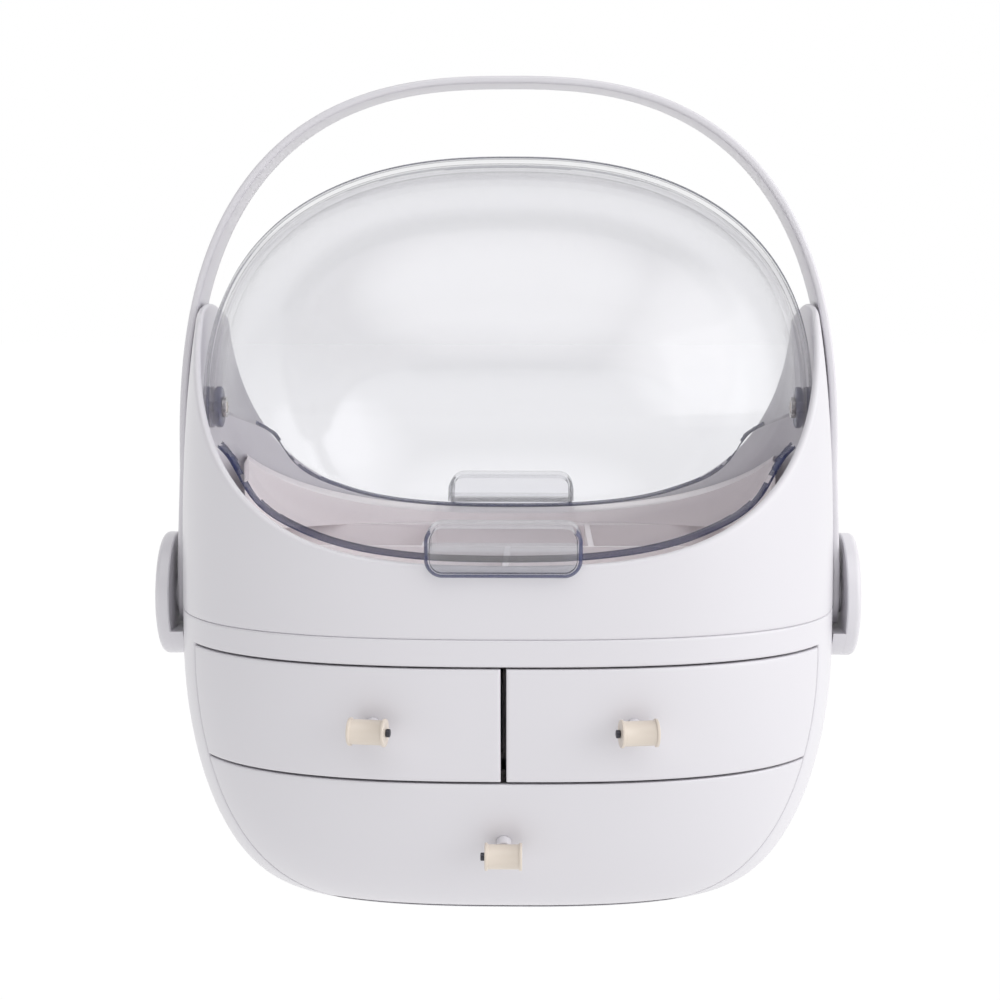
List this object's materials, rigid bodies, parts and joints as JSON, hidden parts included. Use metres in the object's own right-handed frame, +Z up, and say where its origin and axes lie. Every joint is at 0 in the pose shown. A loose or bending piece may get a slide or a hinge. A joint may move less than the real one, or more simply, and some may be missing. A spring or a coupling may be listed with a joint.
{
  "type": "makeup organizer",
  "caption": "Egg-shaped white makeup case with clear flip-up front and rear covers, a swinging carrying handle on side discs, and drawers with spool knobs below.",
  "frame": {"origin": "middle of the flat underside, on the surface it stands on", "axes": "+Z up, -Y towards the drawers (front), X along the case's width"},
  "size_m": [0.2994, 0.2371, 0.341],
  "materials": {
    "white_shell": "satin",
    "clear_cover": "clear plastic",
    "beige_plastic": "satin",
    "metal": "plain"
  },
  "bodies": {
    "case": {"lower_housing": "white_shell", "upper_shell": "white_shell", "drawer_shelf": "white_shell", "drawer_divider": "white_shell", "top_deck": "white_shell", "inner_tray": "white_shell", "front_cover_seat": "white_shell", "rear_cover_seat": "white_shell", "cover_pin_spacers": "white_shell", "cover_pins": "beige_plastic", "cover_pin_clips": "metal", "left_handle_disc": "white_shell", "right_handle_disc": "white_shell", "handle_screws": "metal", "handle_washers": "metal", "deck_screws": "metal"},
    "front_cover": {"front_cover": "clear_cover"},
    "rear_cover": {"rear_cover": "clear_cover"},
    "handle": {"handle": "white_shell"},
    "upper_left_drawer": {"upper_left_drawer_front": "white_shell", "upper_left_drawer_tray": "white_shell", "upper_left_knob": "beige_plastic", "upper_left_knob_pin": "metal", "upper_left_knob_spacer": "white_shell", "upper_left_drawer_screws": "metal"},
    "upper_right_drawer": {"upper_right_drawer_front": "white_shell", "upper_right_drawer_tray": "white_shell", "upper_right_knob": "beige_plastic", "upper_right_knob_pin": "metal", "upper_right_knob_spacer": "white_shell", "upper_right_drawer_screws": "metal"},
    "lower_drawer": {"lower_drawer_front": "white_shell", "lower_drawer_tray": "white_shell", "lower_knob": "beige_plastic", "lower_knob_pin": "metal", "lower_knob_spacer": "white_shell", "lower_drawer_screws": "metal"}
  },
  "joints": [
    {"name": "handle_hinge", "type": "hinge", "parent": "case", "child": "handle", "pos_m": [0, 0, 0.1205], "axis": [1, 0, 0], "range_deg": [-88, 88]},
    {"name": "front_cover_hinge", "type": "hinge", "parent": "case", "child": "front_cover", "pos_m": [0, 0, 0.2015], "axis": [-1, 0, 0], "range_deg": [0, 100]},
    {"name": "rear_cover_hinge", "type": "hinge", "parent": "case", "child": "rear_cover", "pos_m": [0, 0, 0.2015], "axis": [-1, 0, 0], "range_deg": [-100, 0]},
    {"name": "upper_left_drawer_slide", "type": "slide", "parent": "case", "child": "upper_left_drawer", "axis": [0, -1, 0], "range_m": [0, 0.105]},
    {"name": "upper_right_drawer_slide", "type": "slide", "parent": "case", "child": "upper_right_drawer", "axis": [0, -1, 0], "range_m": [0, 0.105]},
    {"name": "lower_drawer_slide", "type": "slide", "parent": "case", "child": "lower_drawer", "axis": [0, -1, 0], "range_m": [0, 0.095]}
  ]
}
